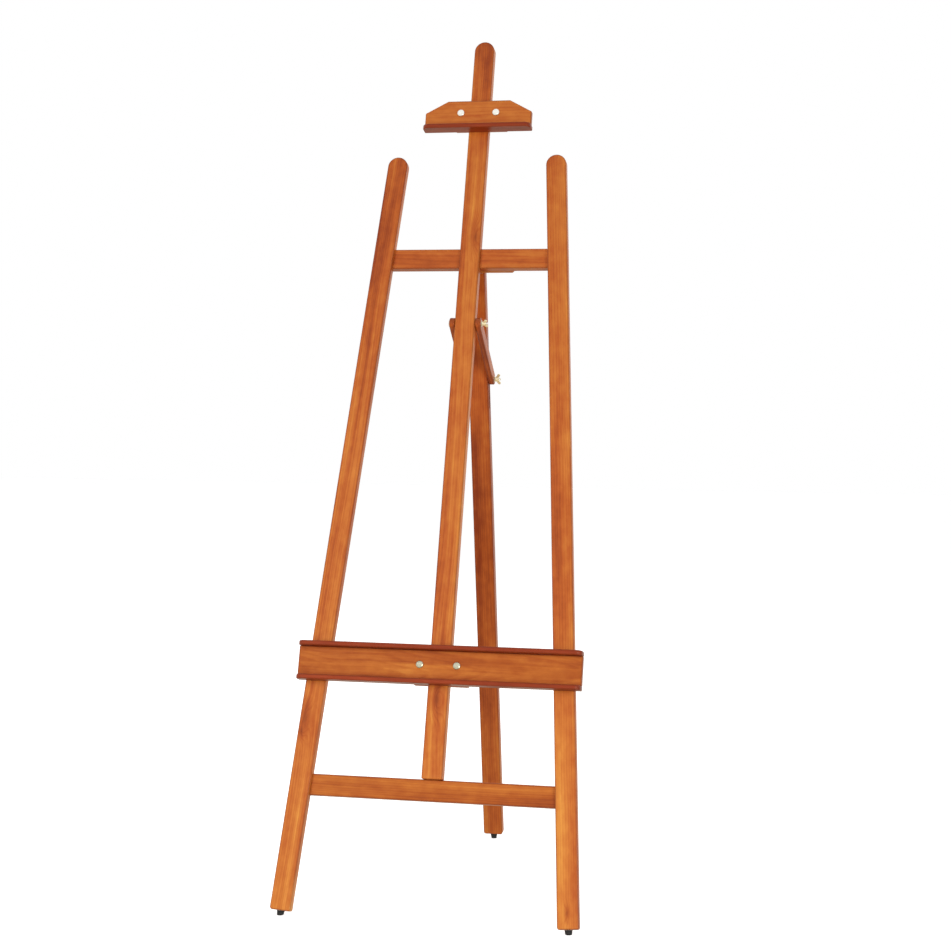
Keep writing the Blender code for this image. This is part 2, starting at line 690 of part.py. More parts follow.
def clamp_bolts(prefix, parent, face, clamp):
    """Two bolts, one on each side of the mast, from the face board to the clamp block."""
    front = -GAP - FACE_THICK - GAP
    grip = MAST_THICK + GAP + CLAMP_THICK + GAP - front
    ahead, behind = front - 0.02, grip + 0.02
    for side, word in ((-1, "left"), (1, "right")):
        x = side * BOLT_SIDE
        bolt_set(prefix + "_" + word, parent, (x, front, 0), ALONG_Y, grip, CLAMP_NUT_TURNS[word])
        for wood in (face, clamp):
            bolt_hole(wood, parent, (x, ahead, 0), (x, behind, 0), "Y")


def build_tray():
    origin = TRAY_BOLT_HEIGHT
    carriage = empty("tray_carriage", (0, 0, origin), FRAME)
    top = TRAY_BASE + TRAY_HEIGHT
    low, high = TRAY_BASE + LEDGE_THICK + GAP, top - LEDGE_THICK - GAP
    face = board("tray_fascia", box_outline(TRAY_HALF, low - origin, high - origin), FACE_THICK,
                 "Y", carriage, (0, -GAP - FACE_THICK, 0), WOOD, edge=CRISP_EDGE)
    ledge("tray_top_ledge", TRAY_HALF, top - LEDGE_THICK, carriage, origin, DARK_WOOD)
    ledge("tray_bottom_ledge", TRAY_HALF, TRAY_BASE, carriage, origin, DARK_WOOD)
    clamp = clamp_block("tray_clamp_block", TRAY_CLAMP, carriage, origin)
    clamp_bolts("tray", carriage, face, clamp)


def build_clip():
    origin = CLIP_BOLT_HEIGHT
    carriage = empty("clip_carriage", (0, 0, origin), FRAME)
    base = CLIP_LEDGE_BASE + LEDGE_THICK + GAP
    outline = [(-CLIP_HALF, base), (CLIP_HALF, base), (CLIP_HALF, CLIP_SHOULDER),
               (CLIP_TOP_HALF, CLIP_TOP), (-CLIP_TOP_HALF, CLIP_TOP), (-CLIP_HALF, CLIP_SHOULDER)]
    outline = [(x, height - origin) for x, height in outline]
    face = board("clip_plate", outline, FACE_THICK, "Y", carriage, (0, -GAP - FACE_THICK, 0),
                 WOOD, edge=FINE_EDGE)
    ledge("clip_ledge", CLIP_LEDGE_HALF, CLIP_LEDGE_BASE, carriage, origin, DARK_WOOD)
    clamp = clamp_block("clip_clamp_block", CLIP_CLAMP, carriage, origin)
    clamp_bolts("clip", carriage, face, clamp)


build_tray()
build_clip()
bpy.context.view_layer.update()
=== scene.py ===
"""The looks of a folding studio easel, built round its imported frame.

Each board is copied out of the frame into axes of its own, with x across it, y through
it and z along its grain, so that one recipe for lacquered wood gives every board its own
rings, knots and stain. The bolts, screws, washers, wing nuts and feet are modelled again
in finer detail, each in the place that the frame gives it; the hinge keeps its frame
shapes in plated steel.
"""

import json
from math import atan2, cos, pi, radians, sin

import bmesh
import bpy
from mathutils import Matrix, Vector


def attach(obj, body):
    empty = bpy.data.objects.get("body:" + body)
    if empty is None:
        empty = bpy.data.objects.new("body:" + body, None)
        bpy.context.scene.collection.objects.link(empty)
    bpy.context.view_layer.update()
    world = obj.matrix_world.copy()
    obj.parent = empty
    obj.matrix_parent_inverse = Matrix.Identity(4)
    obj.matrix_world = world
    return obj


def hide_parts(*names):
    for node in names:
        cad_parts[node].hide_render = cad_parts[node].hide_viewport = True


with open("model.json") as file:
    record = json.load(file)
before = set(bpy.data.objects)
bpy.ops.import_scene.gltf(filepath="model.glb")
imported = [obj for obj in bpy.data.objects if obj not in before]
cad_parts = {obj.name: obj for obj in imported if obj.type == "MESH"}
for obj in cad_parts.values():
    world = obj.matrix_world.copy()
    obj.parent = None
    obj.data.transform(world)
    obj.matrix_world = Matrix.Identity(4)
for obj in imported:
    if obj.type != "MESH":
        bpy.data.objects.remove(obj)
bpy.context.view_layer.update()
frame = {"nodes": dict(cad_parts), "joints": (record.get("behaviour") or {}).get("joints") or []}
JOINTS = {joint["name"]: joint for joint in frame["joints"]}

# The frame's own directions --------------------------------------------------------------
RIGHT = Vector((1, 0, 0))
UP = Vector(JOINTS["tray_slide"]["axis"])       # along the mast
BACK = RIGHT.cross(UP) * -1                     # through the front frame, backwards
# Each front leg leans towards the mast, from a spread of 540 mm to one of 318.4 mm.
LEG_SPLAY = atan2((0.540 - 0.3184) / 2, 1.488)
REAR_LEAN = radians(8.4)                        # of the rear leg from upright
REAR_UP = Vector((0, -sin(REAR_LEAN), cos(REAR_LEAN)))


SAME_PLACE = 2e-5       # points nearer together than this along an axis are level


def leg_direction(side):
    return (UP * cos(LEG_SPLAY) - RIGHT * side * sin(LEG_SPLAY)).normalized()


def vertices(node):
    return [v.co for v in frame["nodes"][node].data.vertices]


def end_centre(node, direction):
    """The middle of a frame node's furthest end along a direction."""
    points = vertices(node)
    furthest = max(p.dot(direction) for p in points)
    end = [p for p in points if furthest - p.dot(direction) < SAME_PLACE]
    return sum(end, Vector()) / len(end)


def length_along(node, direction):
    reach = [p.dot(direction) for p in vertices(node)]
    return max(reach) - min(reach)


def axes(place, along, across):
    """A matrix whose z is along, whose x is close to across, and whose origin is place."""
    z = along.normalized()
    x = (across - z * across.dot(z)).normalized()
    matrix = Matrix((x, z.cross(x), z)).transposed().to_4x4()
    matrix.translation = place
    return matrix


# Shader graphs ---------------------------------------------------------------------------
class Graph:
    """A material, with short ways to add and link its nodes."""

    def __init__(self, name):
        self.material = bpy.data.materials.new(name)
        self.material.use_nodes = True
        self.tree = self.material.node_tree
        self.shader = self.tree.nodes["Principled BSDF"]

    def feed(self, socket, value):
        if isinstance(value, bpy.types.NodeSocket):
            self.tree.links.new(value, socket)
        else:
            socket.default_value = value

    def node(self, kind, settings, inputs):
        made = self.tree.nodes.new(kind)
        for key, value in settings.items():
            setattr(made, key, value)
        for socket, value in inputs.items():
            self.feed(made.inputs[socket], value)
        return made

    def math(self, operation, *values, clamp=False):
        made = self.node("ShaderNodeMath", {"operation": operation, "use_clamp": clamp}, {})
        for socket, value in zip(made.inputs, values):
            self.feed(socket, value)
        return made.outputs[0]

    def vector(self, operation, *values):
        made = self.node("ShaderNodeVectorMath", {"operation": operation}, {})
        for socket, value in zip(made.inputs, values):
            self.feed(socket, value)
        return made.outputs["Value" if operation in ("LENGTH", "DOT_PRODUCT") else "Vector"]

    def place(self):
        """Where the shaded point is, in the piece's own axes, in metres."""
        return self.node("ShaderNodeTexCoord", {}, {}).outputs["Object"]

    def split(self, vector):
        return self.node("ShaderNodeSeparateXYZ", {}, {"Vector": vector}).outputs

    def noise(self, place, scale, detail=2.0, roughness=0.5):
        """Noise from 0 to 1, its scale in cycles a metre along x, y and z."""
        stretched = self.vector("MULTIPLY", place, scale)
        made = self.node("ShaderNodeTexNoise", {"noise_dimensions": "3D"},
                         {"Vector": stretched, "Scale": 1.0, "Detail": detail,
                          "Roughness": roughness})
        return made.outputs[0]

    def remap(self, value, low, high, to_low=0.0, to_high=1.0):
        made = self.node("ShaderNodeMapRange", {"interpolation_type": "SMOOTHSTEP"},
                         {"Value": value, "From Min": low, "From Max": high,
                          "To Min": to_low, "To Max": to_high})
        return made.outputs[0]

    def ramp(self, value, stops):
        made = self.node("ShaderNodeValToRGB", {}, {"Fac": value})
        elements = made.color_ramp.elements
        while len(elements) < len(stops):
            elements.new(1.0)
        for element, (position, colour) in zip(elements, stops):
            element.position = position
            element.color = (*colour, 1.0)
        return made.outputs["Color"]

    def mix(self, factor, first, second):
        """A colour between two others. The node has one set of sockets for each kind of data."""
        made = self.node("ShaderNodeMix", {"data_type": "RGBA"}, {})
        for index, value in ((0, factor), (6, first), (7, second)):
            self.feed(made.inputs[index], value)
        return made.outputs[2]

    def weigh(self, *terms):
        """The sum of (value - middle) * weight over the terms."""
        total = 0.0
        for value, middle, weight in terms:
            centred = self.math("SUBTRACT", value, middle)
            total = self.math("MULTIPLY_ADD", centred, weight, total)
        return total

    def finish(self, colour, roughness, height, depth, **uniform):
        """Links the principled shader; uniform holds its sockets that are the same all over."""
        self.feed(self.shader.inputs["Base Color"], colour)
        self.feed(self.shader.inputs["Roughness"], roughness)
        bump = self.node("ShaderNodeBump", {}, {"Height": height, "Distance": depth,
                                                "Strength": 1.0})
        self.feed(self.shader.inputs["Normal"], bump.outputs[0])
        for name, value in uniform.items():
            self.shader.inputs[name.replace("_", " ")].default_value = value
        return self.material


# Wood ------------------------------------------------------------------------------------
# Stain runs from golden through orange to a deep red brown, as the wood takes it up.
ORANGE = ((0.81, 0.330, 0.058), (0.64, 0.192, 0.032), (0.50, 0.105, 0.016),
          (0.28, 0.040, 0.007))
HONEY = ((0.74, 0.280, 0.045), (0.56, 0.155, 0.021), (0.42, 0.088, 0.010),
         (0.25, 0.038, 0.005))
DEEP = ((0.37, 0.050, 0.010), (0.29, 0.033, 0.006), (0.22, 0.021, 0.004),
        (0.15, 0.012, 0.003))
STAIN = (0.185, 0.026, 0.006)       # where stain has gathered, as along the edges
SMOKE = (0.23, 0.040, 0.008)        # round a knot
KNOT = (0.075, 0.014, 0.005)


def edge_nearness(graph, place, half, round_top):
    """How far inside its nearest edge a point of the surface is, as a negative length."""
    x, y, z = graph.split(place)
    across = graph.math("ABSOLUTE", x)
    through = graph.math("SUBTRACT", graph.math("ABSOLUTE", y), half.y)
    if round_top:
        above = graph.math("MAXIMUM", graph.math("SUBTRACT", z, half.z - half.x), 0.0)
        from_axis = graph.vector("LENGTH", graph.node("ShaderNodeCombineXYZ", {},
                                                      {"X": x, "Y": above}).outputs[0])
        side = graph.math("SUBTRACT", from_axis, half.x)
        end = graph.math("SUBTRACT", graph.math("MULTIPLY", z, -1.0), half.z)
    else:
        side = graph.math("SUBTRACT", across, half.x)
        end = graph.math("SUBTRACT", graph.math("ABSOLUTE", z), half.z)
    outline = graph.math("MAXIMUM", side, end)
    return graph.math("MINIMUM", outline, through)


# Noise in the wood: cycles a metre across, through and along the board, detail, roughness.
NOISE = {
    "broad": ((44, 44, 2.0), 2.0, 0.45), "medium": ((150, 150, 3.2), 2.0, 0.5),
    "fine": ((620, 620, 8), 3.0, 0.6), "fibre": ((2100, 2100, 34), 2.0, 0.6),
    "blotch": ((16, 16, 7), 3.0, 0.6), "cloud": ((70, 70, 38), 3.0, 0.55),
    "pore": ((2900, 2900, 150), 1.0, 0.5), "handled": ((26, 26, 11), 4.0, 0.6),
    "orange_peel": ((520, 520, 300), 1.0, 0.5)}
SEED_STEP = (1.37, 2.71, 4.19)      # metres between the noises of one seed and the next
RING_BEND = (9, 9, 2.2)             # cycles a metre of the slow noise that bends the rings
RING_BEND_REACH = (0.026, 0.026, 0.0)
KNOT_BEND = (0.7, 0, 0)             # how much of that bend the knots take
KNOT_STRETCH = 0.40                 # a knot is drawn out along the grain
KNOT_TONE = 0.22                    # how much a knot's surroundings darken the wood
TONE_STOPS = (0.0, 0.34, 0.66, 1.0)
MIDDLE_TONE = 0.45
RELIEF = 0.00014                    # depth of the lacquered wood's relief, in metres


def year_rings(graph, place, shifted, pith, tilt, ring, knots):
    """Rings that are cylinders round the heart, bent by slow noise and by the knots.

    Returns the distance from the heart, how late in its year the wood grew, and how deep a
    point lies in the smoke round a knot and in a knot's core.
    """
    bend = graph.node("ShaderNodeTexNoise", {"noise_dimensions": "3D"},
                      {"Vector": graph.vector("MULTIPLY", shifted, RING_BEND), "Scale": 1.0,
                       "Detail": 2.0}).outputs[1]
    bend = graph.vector("MULTIPLY", graph.vector("SUBTRACT", bend, (0.5, 0.5, 0.5)),
                        RING_BEND_REACH)
    turned = graph.node("ShaderNodeMapping", {"vector_type": "POINT"},
                        {"Vector": graph.vector("ADD", place, bend),
                         "Location": (pith[0], pith[1], 0.0),
                         "Rotation": (radians(tilt[1]), radians(tilt[0]), 0.0)}).outputs[0]
    heart = graph.vector("LENGTH", graph.vector("MULTIPLY", turned, (1, 1, 0)))
    smoke, core = 0.0, 0.0
    wavy = graph.vector("ADD", place, graph.vector("MULTIPLY", bend, KNOT_BEND))
    x, _, z = graph.split(wavy)
    for knot_x, knot_z, radius in knots:
        across = graph.math("SUBTRACT", x, knot_x)
        along = graph.math("MULTIPLY", graph.math("SUBTRACT", z, knot_z), KNOT_STRETCH)
        spread = graph.node("ShaderNodeCombineXYZ", {}, {"X": across, "Y": along}).outputs[0]
        away = graph.vector("LENGTH", spread)
        swirl = graph.remap(away, 0.0, radius * 5.0, 1.0, 0.0)
        heart = graph.math("MULTIPLY_ADD", graph.math("POWER", swirl, 2.0), radius * 2.6, heart)
        smoke = graph.math("MAXIMUM", graph.remap(away, 0.0, radius * 3.4, 1.0, 0.0), smoke)
        core = graph.math("MAXIMUM", graph.remap(away, radius * 0.15, radius * 0.9, 1.0, 0.0),
                          core)
    uneven = graph.node("ShaderNodeTexNoise", {"noise_dimensions": "1D"},
                        {"W": graph.math("MULTIPLY", heart, 70.0), "Scale": 1.0,
                         "Detail": 1.0}).outputs[0]
    year = graph.math("MULTIPLY_ADD", uneven, 1.6, graph.math("DIVIDE", heart, ring))
    late = graph.ramp(graph.math("FRACT", year),
                      [(0.0, (0.12,) * 3), (0.15, (0.0,) * 3), (0.60, (0.35,) * 3),
                       (0.85, (1.0,) * 3), (0.97, (0.65,) * 3)])
    return heart, late, smoke, core


def stain_gathered(graph, colour, place, half, round_top, blotch):
    """Colour with the stain that has gathered along the edges and in the end grain."""
    nearness = edge_nearness(graph, place, half, round_top)
    ragged = graph.math("MULTIPLY_ADD", blotch, 0.003, nearness)
    edge = graph.remap(ragged, -0.0026, 0.0022, 0.0, 0.62)
    colour = graph.mix(edge, colour, (*STAIN, 1.0))
    facing = graph.split(graph.node("ShaderNodeTexCoord", {}, {}).outputs["Normal"])[2]
    end_grain = graph.remap(graph.math("ABSOLUTE", facing), 0.55, 0.95, 0.0, 0.55)
    return graph.mix(end_grain, colour, (*STAIN, 1.0))


def wood(name, half, seed, tones=ORANGE, pith=(0.07, 0.05), tilt=(0.4, 0.3), ring=0.0042,
         figure=0.13, streak=1.2, shade=0.0, fade=0.0, knots=(), round_top=False):
    """Stained and lacquered wood for one board.

    half is half the board's size along x, y and z. pith is where the tree's heart lies
    beside the board, in metres, and tilt is how far it leans from the grain, in degrees.
    ring is the width of a year ring, figure how strongly the rings show, and streak how
    strongly the streaks do. shade darkens the board, and fade darkens it towards its z end,
    partly as stain and partly as painted shade on the upper legs and under the hinge block.
    A knot is (x, z, radius).
    """
    graph = Graph("wood_" + name)
    place = graph.place()
    shifted = graph.vector("ADD", place, tuple(seed * step for step in SEED_STEP))
    heart, late, smoke, core = year_rings(graph, place, shifted, pith, tilt, ring, knots)

    # Streaks of several widths run along the grain, and follow the rings a little.
    drawn = graph.node("ShaderNodeCombineXYZ", {},
                       {"X": graph.math("MULTIPLY", heart, 0.6), "Y": 0.0, "Z": 0.0}).outputs[0]
    drawn = graph.vector("ADD", shifted, drawn)
    broad, medium, fine = (graph.noise(drawn, *NOISE[kind])
                           for kind in ("broad", "medium", "fine"))
    fibre, blotch, cloud, handled, orange_peel = (
        graph.noise(shifted, *NOISE[kind])
        for kind in ("fibre", "blotch", "cloud", "handled", "orange_peel"))
    pore = graph.remap(graph.noise(shifted, *NOISE["pore"]), 0.66, 0.74)
    # Darker towards the z end: partly stain, partly painted shade.
    stain_and_shade_towards_end = graph.math("MULTIPLY", graph.split(place)[2], fade / half.z)

    tone = graph.weigh((late, 0.35, figure), (broad, 0.5, streak), (medium, 0.5, 0.34 * streak),
                       (fine, 0.5, 0.26 * streak), (fibre, 0.5, 0.12), (blotch, 0.5, 0.55),
                       (cloud, 0.5, 0.50), (pore, 0.0, 0.08), (stain_and_shade_towards_end, 0.0, 1.0),
                       (smoke, 0.0, KNOT_TONE))
    tone = graph.math("ADD", tone, MIDDLE_TONE + shade, clamp=True)
    colour = graph.ramp(tone, list(zip(TONE_STOPS, tones)))
    if knots:
        colour = graph.mix(graph.math("MULTIPLY", smoke, 0.20), colour, (*SMOKE, 1.0))
        colour = graph.mix(graph.math("MULTIPLY", core, 0.22), colour, (*KNOT, 1.0))
    colour = stain_gathered(graph, colour, place, half, round_top, blotch)

    roughness = graph.math("ADD", graph.weigh((handled, 0.5, 0.20), (late, 0.3, 0.05)), 0.38)
    height = graph.weigh((fibre, 0.5, 0.30), (fine, 0.5, 0.40), (late, 0.3, 0.20),
                         (pore, 0.0, -0.50), (orange_peel, 0.5, 0.35))
    return graph.finish(colour, roughness, height, RELIEF, Coat_Weight=0.06,
                        Coat_Roughness=0.22, Specular_IOR_Level=0.38,
                        Specular_Tint=(1.0, 0.76, 0.56, 1.0))


MERGE = 2e-6                        # vertices nearer than this become one
FLAT = radians(0.6)                 # facets that turn less than this become one face
BROKEN_EDGE = 0.0003                # width of the bevel along every sharp edge
SHARP = radians(62)


def board(node, body, along, across, tones=ORANGE, round_top=False, **look):
    """A frame board in its own axes, its facets merged and its wood its own."""
    mesh = frame["nodes"][node].data.copy()
    mesh.name = node + "_board"
    turn = axes(Vector(), along, across)
    mesh.transform(turn.inverted())
    low = Vector(min(v.co[i] for v in mesh.vertices) for i in range(3))
    high = Vector(max(v.co[i] for v in mesh.vertices) for i in range(3))
    middle, half = (low + high) / 2, (high - low) / 2
    mesh.transform(Matrix.Translation(-middle))
    shape = bmesh.new()
    shape.from_mesh(mesh)
    bmesh.ops.remove_doubles(shape, verts=shape.verts, dist=MERGE)
    bmesh.ops.dissolve_limit(shape, angle_limit=FLAT, verts=shape.verts, edges=shape.edges)
    for face in shape.faces:
        face.smooth = True
    shape.to_mesh(mesh)
    shape.free()
    mesh.materials.clear()
    mesh.materials.append(wood(node, half, tones=tones, round_top=round_top, **look))
    piece = bpy.data.objects.new(mesh.name, mesh)
    bpy.context.scene.collection.objects.link(piece)
    piece.matrix_world = turn @ Matrix.Translation(middle)
    soften = piece.modifiers.new("broken_edges", "BEVEL")
    soften.width = BROKEN_EDGE
    soften.segments = 2
    soften.limit_method = "ANGLE"
    soften.angle_limit = SHARP
    shading = piece.modifiers.new("flat_faces", "WEIGHTED_NORMAL")
    shading.keep_sharp = True
    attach(piece, body)
    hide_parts(node)
    return piece


LEG_LOOKS = {
    "left_leg": {"seed": 1.0, "pith": (0.055, 0.030),
                 "knots": [(-0.009, -0.388, 0.0060), (-0.012, -0.412, 0.0035)]},
    "right_leg": {"seed": 2.0, "pith": (-0.062, 0.040), "knots": [(0.002, -0.715, 0.0030)]}}


def build_boards():
    """Every board, with its grain along its length and a seed of its own."""
    for side, node in ((-1, "left_leg"), (1, "right_leg")):
        # The legs' fade darkens their tops, partly as painted shade where less light falls than
        # on their lower parts.
        board(node, "frame", leg_direction(side), RIGHT, round_top=True, fade=0.15, shade=0.08,
              **LEG_LOOKS[node])
    # The mast's fade darkens its top a little, partly as painted shade.
    board("mast", "frame", UP, RIGHT, round_top=True, seed=3.0, pith=(0.030, 0.045),
          tilt=(0.7, 0.3), knots=[(0.010, 0.332, 0.0060), (0.001, -0.580, 0.0060)], fade=0.03,
          shade=0.11)
    board("upper_crossbar", "frame", RIGHT, UP, seed=4.0, pith=(0.020, -0.050), streak=0.8,
          shade=0.17)
    board("lower_crossbar", "frame", RIGHT, UP, tones=HONEY, seed=5.0, pith=(0.090, -0.030),
          figure=0.14, streak=0.9, shade=0.13)
    board("hinge_block", "frame", RIGHT, UP, seed=6.0)
    # The rear leg's shade and fade are partly painted shade: darker all over, as it faces away
    # from the light, and most of all at its top under the hinge block.
    board("rear_leg", "rear_leg", REAR_UP, RIGHT, seed=7.0, pith=(-0.050, 0.030), shade=0.30,
          fade=0.20)
    strut_up = (end_centre("strut_upper_bolt", -RIGHT) - end_centre("strut_lower_bolt", -RIGHT))
    for node, seed in (("strut_bar_left", 8.0), ("strut_bar_right", 9.0)):
        board(node, "strut", strut_up, RIGHT, seed=seed, shade=0.30)
    board("tray_fascia", "tray", RIGHT, UP, seed=10.0, tones=HONEY, pith=(0.012, -0.110),
          tilt=(0.2, 1.3), figure=0.13, ring=0.0022, shade=0.17)
    for node, seed in (("tray_top_ledge", 11.0), ("tray_bottom_ledge", 12.0)):
        board(node, "tray", RIGHT, BACK, tones=DEEP, seed=seed)
    board("tray_clamp_block", "tray", RIGHT, UP, seed=13.0)
    board("clip_plate", "clip", RIGHT, UP, seed=14.0, pith=(0.030, -0.060), streak=0.7,
          shade=0.02)
    board("clip_ledge", "clip", RIGHT, BACK, tones=DEEP, seed=15.0)
    board("clip_clamp_block", "clip", RIGHT, UP, seed=16.0)


# Metal and rubber ------------------------------------------------------------------------
def zinc(name, clear, hazy, yellowed):
    """Zinc plating that passes from clear through hazy to yellowed."""
    graph = Graph(name)
    place = graph.place()
    mottle = graph.noise(place, (420, 420, 420), 3.0)
    bloom = graph.noise(place, (1400, 1400, 1400), 2.0)
    rub = graph.noise(place, (5200, 5200, 900), 2.0)
    colour = graph.ramp(mottle, [(0.30, clear), (0.52, hazy), (0.72, yellowed)])
    roughness = graph.math("ADD", graph.weigh((bloom, 0.5, 0.30), (mottle, 0.5, 0.20)), 0.27)
    height = graph.weigh((rub, 0.5, 0.5), (bloom, 0.5, 0.5))
    return graph.finish(colour, roughness, height, 0.00002, Metallic=0.9)


def brass():
    graph = Graph("pale_brass")
    place = graph.place()
    cast = graph.noise(place, (900, 900, 900), 3.0)
    tarnish = graph.noise(place, (260, 260, 260), 4.0, 0.6)
    colour = graph.ramp(tarnish, [(0.30, (0.91, 0.84, 0.62)), (0.55, (0.86, 0.76, 0.50)),
                                  (0.80, (0.62, 0.50, 0.27))])
    roughness = graph.math("ADD", graph.weigh((cast, 0.5, 0.22), (tarnish, 0.5, 0.25)), 0.30)
    return graph.finish(colour, roughness, cast, 0.00006, Metallic=1.0)


def rubber():
    graph = Graph("black_rubber")
    place = graph.place()
    grain = graph.noise(place, (2600, 2600, 2600), 3.0)
    dust = graph.noise(place, (330, 330, 330), 4.0, 0.65)
    colour = graph.ramp(dust, [(0.35, (0.010, 0.010, 0.011)), (0.65, (0.022, 0.021, 0.020)),
                               (0.85, (0.060, 0.056, 0.050))])
    roughness = graph.math("ADD", graph.weigh((dust, 0.5, 0.30)), 0.66)
    return graph.finish(colour, roughness, grain, 0.00008, Specular_IOR_Level=0.35)


ZINC = zinc("zinc_plating", (0.86, 0.85, 0.82), (0.88, 0.86, 0.78), (0.74, 0.72, 0.58))
# Zinc for the tray's bolts: yellower, and darker as painted shade, since the tray turns their
# heads from the light.
YELLOWED_SHADED_ZINC = zinc("yellowed_shaded_zinc_plating", (0.62, 0.61, 0.52), (0.56, 0.55, 0.40), (0.40, 0.40, 0.24))
BRASS, RUBBER = brass(), rubber()


def new_mesh(name, points, faces):
    mesh = bpy.data.meshes.new(name)
    mesh.from_pydata(points, [], faces)
    mesh.validate()
    return mesh


def turned_mesh(name, rows, steps, closed=False):
    """A surface round z. A row is (radius, height), and its radius may be a function of angle.

    Rows run down the outside. A first or last row of radius 0 closes the shape on the axis,
    and a closed shape joins its last row to its first, as a ring does.
    """
    points, rings = [], []
    for radius, height in rows:
        if radius == 0:
            rings.append([len(points)])
            points.append((0, 0, height))
            continue
        rings.append(range(len(points), len(points) + steps))
        for step in range(steps):
            angle = 2 * pi * step / steps
            reach = radius(angle) if callable(radius) else radius
            points.append((reach * cos(angle), reach * sin(angle), height))
    pairs = list(zip(rings, rings[1:]))
    if closed:
        pairs.append((rings[-1], rings[0]))
    faces = []
    for above, below in pairs:
        for step in range(steps):
            after = (step + 1) % steps
            if len(above) == 1:
                faces.append((above[0], below[step], below[after]))
            elif len(below) == 1:
                faces.append((above[step], below[0], above[after]))
            else:
                faces.append((above[step], below[step], below[after], above[after]))
    return new_mesh(name, points, faces)


def thread_rows(radius, depth, pitch, start, end):
    """Rows of a screw thread, from a height start down to end, dying out at both ends."""
    rows, count = [], max(2, round((start - end) / pitch * 4))
    for index in range(count + 1):
        height = start + (end - start) * index / count
        fade = min(1.0, (start - height) / pitch, (height - end) / pitch)

        def reach(angle, height=height, fade=fade):
            phase = (height / pitch - angle / (2 * pi)) % 1.0
            return radius - depth * fade * abs(2 * phase - 1)
        rows.append((reach, height))
    return rows


def small_piece(name, node, body, mesh, matrix, material, sharp=38):
    """A finished metal or rubber piece that stands for one frame node."""
    if not mesh.materials:
        mesh.materials.append(material)
        mesh.shade_smooth()
        mesh.set_sharp_from_angle(angle=radians(sharp))
    piece = bpy.data.objects.new(name, mesh)
    bpy.context.scene.collection.objects.link(piece)
    piece.matrix_world = matrix
    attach(piece, body)
    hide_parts(node)
    return piece


BOLT_RADIUS = 0.0025
BOLT_THREADED = 0.022               # length of the thread
BOLT_THREAD = (0.00042, 0.0008)     # depth and pitch
HEAD_RADIUS = 0.0071
HEAD_RISE = 0.0028
WASHER_SIZE = (0.0062, 0.0028, 0.0010)      # outer radius, bore, thickness
SCREW = (0.0016, 0.0036)            # shank and head radius
SMALL_SCREW = (0.0012, 0.0026)      # in the hinge


def bolt_mesh(name, length):
    """A carriage bolt: a domed head above height 0, then a shank with a thread at its end."""
    lip, chamfer, fillet = 0.0005, 0.0006, 0.0002
    plain = length - BOLT_THREADED
    rows = [(0, HEAD_RISE)]
    for index in range(1, 9):
        angle = radians(11 * index)
        rows.append((HEAD_RADIUS * sin(angle), lip + (HEAD_RISE - lip) * cos(angle)))
    rows += [(HEAD_RADIUS, lip), (HEAD_RADIUS - fillet, 0.0), (BOLT_RADIUS + fillet, 0.0),
             (BOLT_RADIUS, -fillet), (BOLT_RADIUS, -plain)]
    rows += thread_rows(BOLT_RADIUS, *BOLT_THREAD, -plain - fillet, chamfer - length)
    rows += [(BOLT_RADIUS - chamfer, -length), (0, -length)]
    return turned_mesh(name, rows, 32)


def washer_mesh(name, radius, bore, thick):
    """A flat washer on height 0, its corners broken."""
    soft = 0.00018
    rows = [(bore, thick - soft), (bore + soft, thick), (radius - soft * 2, thick),
            (radius, thick - soft * 1.5), (radius, soft), (radius - soft, 0), (bore + soft, 0),
            (bore, soft)]
    return turned_mesh(name, rows, 48, closed=True)


def apply_modifiers(piece):
    """Its mesh as its modifiers leave it, and the piece itself removed."""
    bpy.context.view_layer.update()
    seen = piece.evaluated_get(bpy.context.evaluated_depsgraph_get())
    mesh = bpy.data.meshes.new_from_object(seen)
    bpy.data.objects.remove(piece, do_unlink=True)
    return mesh


def loose(mesh):
    """An object for a mesh, at the origin."""
    piece = bpy.data.objects.new(mesh.name, mesh)
    bpy.context.scene.collection.objects.link(piece)
    return piece


def cut_mesh(mesh, tool, crossed=False):
    """A mesh with a tool's shape taken out of it. A crossed tool cuts through itself."""
    piece, cutter = loose(mesh), loose(tool)
    modifier = piece.modifiers.new("cut", "BOOLEAN")
    modifier.object = cutter
    modifier.use_self = crossed
    made = apply_modifiers(piece)
    bpy.data.objects.remove(cutter, do_unlink=True)
    return made


def screw_mesh(name, length, shank, head):
    """A countersunk wood screw with a cross recess, its head's flat at height 0.

    Its proportions follow its length and its shank's and head's radius.
    """
    cone = head - shank
    rows = [(0, 0.00012), (head * 0.55, 0.00009), (head * 0.93, 0.0), (head, -0.00018),
            (shank, -cone), (shank, -length * 0.34)]
    rows += thread_rows(shank, shank * 0.34, shank * 0.95, -length * 0.36, -length * 0.86)
    rows += [(shank * 0.62, -length * 0.88), (0, -length)]
    solid = turned_mesh(name, rows, 28)
    recess = bmesh.new()
    arm, slit, deep = head * 0.56, head * 0.105, head * 0.52
    for turn in (0, pi / 2):
        made = bmesh.ops.create_cube(recess, size=1.0)["verts"]
        bmesh.ops.scale(recess, vec=(arm * 2, slit * 2, deep * 2), verts=made)
        for vertex in made:
            if vertex.co.z < 0:
                vertex.co.x *= 0.35
                vertex.co.y *= 0.7
        bmesh.ops.rotate(recess, verts=made, cent=(0, 0, 0), matrix=Matrix.Rotation(turn, 3, "Z"))
    tool = bpy.data.meshes.new(name + "_recess")
    recess.to_mesh(tool)
    recess.free()
    return cut_mesh(solid, tool, crossed=True)


